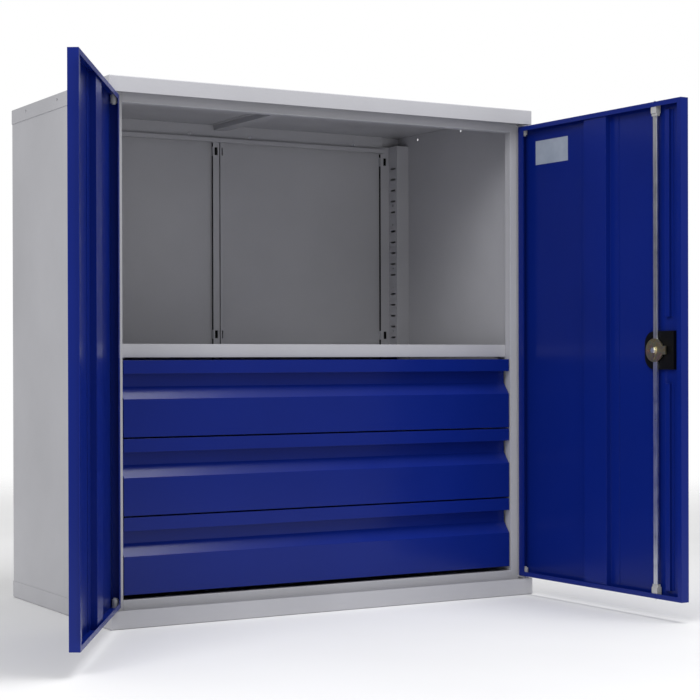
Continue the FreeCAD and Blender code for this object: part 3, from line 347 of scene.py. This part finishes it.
JOIN_FACES = softening()
FLAT_ANGLE = math.radians(0.4)
BEVEL_ANGLE = math.radians(32)
BEVEL_SEGMENTS = 2
SHEET_EDGE_RADIUS = 0.55
EDGE_RADIUS = {
    "slide_": 0.15,
    "lock_cylinder": 0.2,
    "lock_cam": 0.25,
    "lock_rod": 0.7,
    "lock_case": 0.9,
    "label_plate": 0.12,
    "rear_upright": 0.2,
    "front_upright": 0.2,
    "hinge_": 0.4,
    "left_door_hinge_bushes": 0.2,
    "right_door_hinge_bushes": 0.2,
}


def soften(node, radius):
    """Rounds an object's edges by a bevel, without touching its mesh."""
    join = node.modifiers.new("join faces", "NODES")
    join.node_group = JOIN_FACES
    flat = node.modifiers.new("flat faces", "DECIMATE")
    flat.decimate_type = "DISSOLVE"
    flat.angle_limit = FLAT_ANGLE
    bevel = node.modifiers.new("edge radius", "BEVEL")
    bevel.width = radius
    bevel.segments = BEVEL_SEGMENTS
    bevel.limit_method = "ANGLE"
    bevel.angle_limit = BEVEL_ANGLE
    bevel.harden_normals = True


for name, node in NODES.items():
    node.data.materials.clear()
    node.data.materials.append(FINISHES[SLOT_OF[name]])
    radius = next((r for start, r in EDGE_RADIUS.items() if name.startswith(start)), SHEET_EDGE_RADIUS)
    soften(node, radius * MM)


# New pieces

SMOOTH_ANGLE = math.radians(35)


def mesh_piece(name, mesh_builder, body, slot):
    """A piece from bmesh code, shaded smooth where its faces turn gently, riding on a body."""
    mesh = bpy.data.meshes.new(name)
    shape = bmesh.new()
    mesh_builder(shape)
    bmesh.ops.recalc_face_normals(shape, faces=shape.faces)
    shape.to_mesh(mesh)
    shape.free()
    mesh.materials.append(FINISHES[slot])
    piece = bpy.data.objects.new(name, mesh)
    bpy.context.scene.collection.objects.link(piece)
    mesh.polygons.foreach_set("use_smooth", [True] * len(mesh.polygons))
    mesh.set_sharp_from_angle(angle=SMOOTH_ANGLE)
    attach(piece, body)
    return piece


def band(shape, lower, upper):
    """Joins two closed rows of vertices, which have the same count, by a band of faces."""
    count = len(lower)
    for step in range(count):
        after = (step + 1) % count
        shape.faces.new((lower[step], lower[after], upper[after], upper[step]))


def lofted(shape, rows):
    """A solid through closed rows of vertices. Gives back its last face."""
    for lower, upper in zip(rows, rows[1:]):
        band(shape, lower, upper)
    shape.faces.new(list(reversed(rows[0])))
    return shape.faces.new(rows[-1])


def turned(shape, profile, place, axis, sides, start=0.0):
    """A turned solid: (radius, height) points swept around an axis through the place."""
    to_axis = Vector(axis).to_track_quat("Z", "Y").to_matrix()
    rings = []
    for radius, height in profile:
        ring = []
        for step in range(sides):
            angle = start + step * math.tau / sides
            point = Vector((radius * math.cos(angle), radius * math.sin(angle), height))
            ring.append(shape.verts.new(Vector(place) + to_axis @ point))
        rings.append(ring)
    return lofted(shape, rings)


def scaled(profile, radius, height):
    """A profile given in shares of a radius and a height."""
    return [(radius * across, height * up) for across, up in profile]


ROUND_SIDES = 24
HEX_SIDES = 6
HEX_START = 0.4
WASHER_SHARE = 0.3
CROWN_SEAT_SHARE = 0.9
WASHER_PROFILE = ((0.96, 0.0), (1.0, 0.3), (1.0, 0.8), (0.96, 1.0))
CROWN_PROFILE = ((0.86, 0.0), (0.86, 0.8), (0.70, 1.0))


def hex_head(shape, place, axis, radius, height):
    """A hex head with a chamfered crown, on a thin washer."""
    washer = height * WASHER_SHARE
    turned(shape, scaled(WASHER_PROFILE, radius, washer), place, axis, ROUND_SIDES)
    seat = washer * CROWN_SEAT_SHARE
    crown = Vector(place) + Vector(axis) * seat
    turned(shape, scaled(CROWN_PROFILE, radius, height - seat), crown, axis, HEX_SIDES, HEX_START)


DOME_SIDES = 32
DOME_PROFILE = ((0.94, 0.0), (1.0, 0.2), (0.93, 0.55), (0.76, 0.82), (0.52, 0.95), (0.30, 1.0))
RECESS_SHARE = 0.25
RECESS_WIDTH = 3
RECESS_PITCH = 8


def pan_head(shape, place, axis, radius, height):
    """A domed screw head with a cross recess."""
    top = turned(shape, scaled(DOME_PROFILE, radius, height), place, axis, DOME_SIDES)
    rim = list(top.verts)
    middle = shape.verts.new(Vector(place) + Vector(axis) * height * RECESS_SHARE)
    bmesh.ops.delete(shape, geom=[top], context="FACES_ONLY")
    for step, vert in enumerate(rim):
        shape.faces.new((vert, rim[(step + 1) % DOME_SIDES], middle))
        if step % RECESS_PITCH < RECESS_WIDTH:
            vert.co += Vector(axis) * -height * RECESS_SHARE


def boxes_of(name):
    """The box of each separate solid of a CAD node, at rest: (lowest corner, highest corner)."""
    node = NODES[name]
    shape = bmesh.new()
    shape.from_mesh(node.data)
    bmesh.ops.remove_doubles(shape, verts=shape.verts, dist=WELD_DISTANCE)
    boxes = []
    seen = set()
    for first in shape.verts:
        if first in seen:
            continue
        seen.add(first)
        solid = [first]
        for vert in solid:
            for edge in vert.link_edges:
                other = edge.other_vert(vert)
                if other not in seen:
                    seen.add(other)
                    solid.append(other)
        points = [node.matrix_world @ vert.co for vert in solid]
        low = Vector([min(values) for values in zip(*points)])
        high = Vector([max(values) for values in zip(*points)])
        boxes.append((low, high))
    shape.free()
    return boxes


def replace_heads(name, head):
    """Finer bolt or screw heads in place of a CAD node's, on the same body and with the same finish."""
    def build(shape):
        for low, high in boxes_of(name):
            middle = (low + high) / 2
            radius = (high.x - low.x) / 2
            head(shape, (middle.x, high.y, middle.z), TOWARDS_FRONT, radius, high.y - low.y)

    body = body_of(NODES[name])[0]
    piece = mesh_piece(f"fine_{name}", build, body, SLOT_OF[name])
    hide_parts(name)


# Where the black strips of painted shade stand behind the slots, in metres
STRIP_SPANS = ((-0.4402, -0.4197), (-0.0143, -0.0017), (-0.0003, 0.0021), (0.0035, 0.0099), (0.4197, 0.4402))
STRIP_FRONT = 0.24725
STRIP_BACK = 0.24755
STRIP_LOW = 0.06
STRIP_HEIGHT = 0.90
STRIP_STEPS = 30
STRIP_EDGE = 0.0004
RIPPLE_DEPTH = 0.00008
RIPPLE_TURN = 1.7


def painted_shade_strips(shape):
    """Thin black strips on the back panels, behind the slots of the uprights and the centre post: painted
    shade, dark sheets where the slots show only shadow.
    """
    for low_x, high_x in STRIP_SPANS:
        rows = []
        for step in range(STRIP_STEPS + 1):
            level = STRIP_LOW + STRIP_HEIGHT * step / STRIP_STEPS
            front = STRIP_FRONT + RIPPLE_DEPTH * math.sin(step * RIPPLE_TURN)
            rows.append([shape.verts.new((x, y, level)) for x, y in (
                (low_x, STRIP_BACK), (low_x + STRIP_EDGE, front),
                (high_x - STRIP_EDGE, front), (high_x, STRIP_BACK))])
        lofted(shape, rows)


BACK_SHEET = 1.0 * MM
BACK_FOLD = 8.0 * MM
BACK_END_GAP = 1.5 * MM
BACK_LAP = 12.0 * MM
BACK_DROP = 1.0 * MM
BACK_GAP = 0.1 * MM
BACK_CORNER = 0.8 * MM


def raised_back(level):
    """The taller rear wall that stands inside a drawer box's rear wall, its top edge folded forward."""
    low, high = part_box(f"drawer_box_{level}")
    front_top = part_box(f"drawer_front_{level}")[1].z
    foot = high.z - BACK_LAP
    top = front_top - BACK_DROP
    back = high.y - BACK_SHEET - BACK_GAP
    outline = (
        (back, foot), (back, top - BACK_CORNER), (back - BACK_CORNER, top), (back - BACK_FOLD, top),
        (back - BACK_FOLD, top - BACK_SHEET), (back - BACK_SHEET, top - BACK_SHEET),
        (back - BACK_SHEET, foot))

    def build(shape):
        lofted(shape, [
            [shape.verts.new((x, y, z)) for y, z in outline]
            for x in (low.x + BACK_END_GAP, high.x - BACK_END_GAP)
        ])
    return build


replace_heads("hinge_screws", pan_head)
# Black strips behind the slots: painted shade standing for the dark hollows seen through them
mesh_piece("painted_shade_strips", painted_shade_strips, "cabinet", "black_plastic")
for level in LEVELS:
    mesh_piece(f"raised_back_{level}", raised_back(level), f"drawer_{level}", "grey_powder_coat")
replace_heads("back_rail_bolts", hex_head)


# Stage, lights and camera

FLOOR_TONE_SCALE = 1.5
FLOOR_TONES = ((0.3, (0.80, 0.80, 0.805)), (0.7, (0.84, 0.84, 0.845)))
FLOOR_FADE = (1.3, 4.0)
FLOOR_RADIUS = 5.0
FLOOR_SIDES = 96
FLOOR_DROP = 0.4 * MM


def pale_floor():
    """A large pale floor that fades into the white surroundings away from the object."""
    s = Shader("pale floor")
    s.drive(Base_Color=s.ramp(s.noise(FLOOR_TONE_SCALE, detail=4.0), FLOOR_TONES))
    s.set(Roughness=0.6)
    length = s.add("ShaderNodeVectorMath", operation="LENGTH")
    s.link(s.place, length.inputs[0])
    fade = s.spread(length.outputs["Value"], 0.0, 1.0, FLOOR_FADE)
    fade.node.interpolation_type = "SMOOTHSTEP"
    clear = s.add("ShaderNodeBsdfTransparent")
    mix = s.add("ShaderNodeMixShader")
    s.link(fade, mix.inputs["Fac"])
    s.link(s.principled.outputs[0], mix.inputs[1])
    s.link(clear.outputs[0], mix.inputs[2])
    s.link(mix.outputs[0], s.tree.nodes["Material Output"].inputs["Surface"])
    bpy.ops.mesh.primitive_circle_add(
        vertices=FLOOR_SIDES, radius=FLOOR_RADIUS, fill_type="NGON", location=(0, 0, -FLOOR_DROP))
    floor = bpy.context.object
    floor.name = "floor"
    floor.data.materials.append(s.material)


def soft_light(name, place, target, size, watts):
    light = bpy.data.lights.new(name, "AREA")
    light.shape = "RECTANGLE"
    light.size, light.size_y = size
    light.energy = watts
    lamp = bpy.data.objects.new(name, light)
    lamp.location = place
    lamp.rotation_euler = (Vector(target) - Vector(place)).to_track_quat("-Z", "Y").to_euler()
    bpy.context.scene.collection.objects.link(lamp)


pale_floor()
soft_light("key", place=(-2.6, -2.2, 3.0), target=(0.0, -0.1, 0.5), size=(1.8, 1.8), watts=60)
soft_light("overhead", place=(0.55, -1.15, 3.6), target=(0.2, -0.3, 0.0), size=(1.3, 1.8), watts=75)

SURROUND_LIGHT = 0.68
SURROUND_GLOSS = 0.3


def studio_surroundings():
    """White to look at, and a soft even light. Gloss sees less of it, as of a studio's dark camera side."""
    world = bpy.data.worlds.new("white surroundings")
    bpy.context.scene.world = world
    world.use_nodes = True
    tree = world.node_tree
    rays = tree.nodes.new("ShaderNodeLightPath")
    scattered = tree.nodes.new("ShaderNodeMix")
    scattered.inputs["A"].default_value = SURROUND_LIGHT
    scattered.inputs["B"].default_value = SURROUND_GLOSS
    seen = tree.nodes.new("ShaderNodeMix")
    seen.inputs["B"].default_value = 1.0
    background = tree.nodes["Background"]
    background.inputs["Color"].default_value = (1.0, 1.0, 1.0, 1.0)
    tree.links.new(rays.outputs["Is Glossy Ray"], scattered.inputs["Factor"])
    tree.links.new(scattered.outputs["Result"], seen.inputs["A"])
    tree.links.new(rays.outputs["Is Camera Ray"], seen.inputs["Factor"])
    tree.links.new(seen.outputs["Result"], background.inputs["Strength"])


studio_surroundings()
bpy.context.scene.view_settings.view_transform = "Standard"

FOCAL_PIXELS = 1684.2
FRAME_PIXELS = 700
AXIS_PIXEL = (267.9, 365.7)
YAW, PITCH, ROLL = 0.5052, -0.0035, -0.0027
CAMERA_PLACE = (-1.6913, -3.0358, 0.4861)
SENSOR_WIDTH = 36.0
camera_data = bpy.data.cameras.new("camera")
camera_data.sensor_width = SENSOR_WIDTH
camera_data.lens = FOCAL_PIXELS * SENSOR_WIDTH / FRAME_PIXELS
camera_data.shift_x = (FRAME_PIXELS / 2 - AXIS_PIXEL[0]) / FRAME_PIXELS
camera_data.shift_y = (AXIS_PIXEL[1] - FRAME_PIXELS / 2) / FRAME_PIXELS
camera = bpy.data.objects.new("camera", camera_data)
bpy.context.scene.collection.objects.link(camera)
level = Vector((math.sin(YAW), math.cos(YAW), 0.0))
across = Vector((math.cos(YAW), -math.sin(YAW), 0.0))
upright = Vector((0.0, 0.0, 1.0))
forward = level * math.cos(PITCH) + upright * math.sin(PITCH)
tilted = upright * math.cos(PITCH) - level * math.sin(PITCH)
right = across * math.cos(ROLL) + tilted * math.sin(ROLL)
up = tilted * math.cos(ROLL) - across * math.sin(ROLL)
turn = Matrix((right, up, -forward)).transposed().to_4x4()
camera.matrix_world = Matrix.Translation(CAMERA_PLACE) @ turn
bpy.context.scene.camera = camera

bpy.context.view_layer.update()
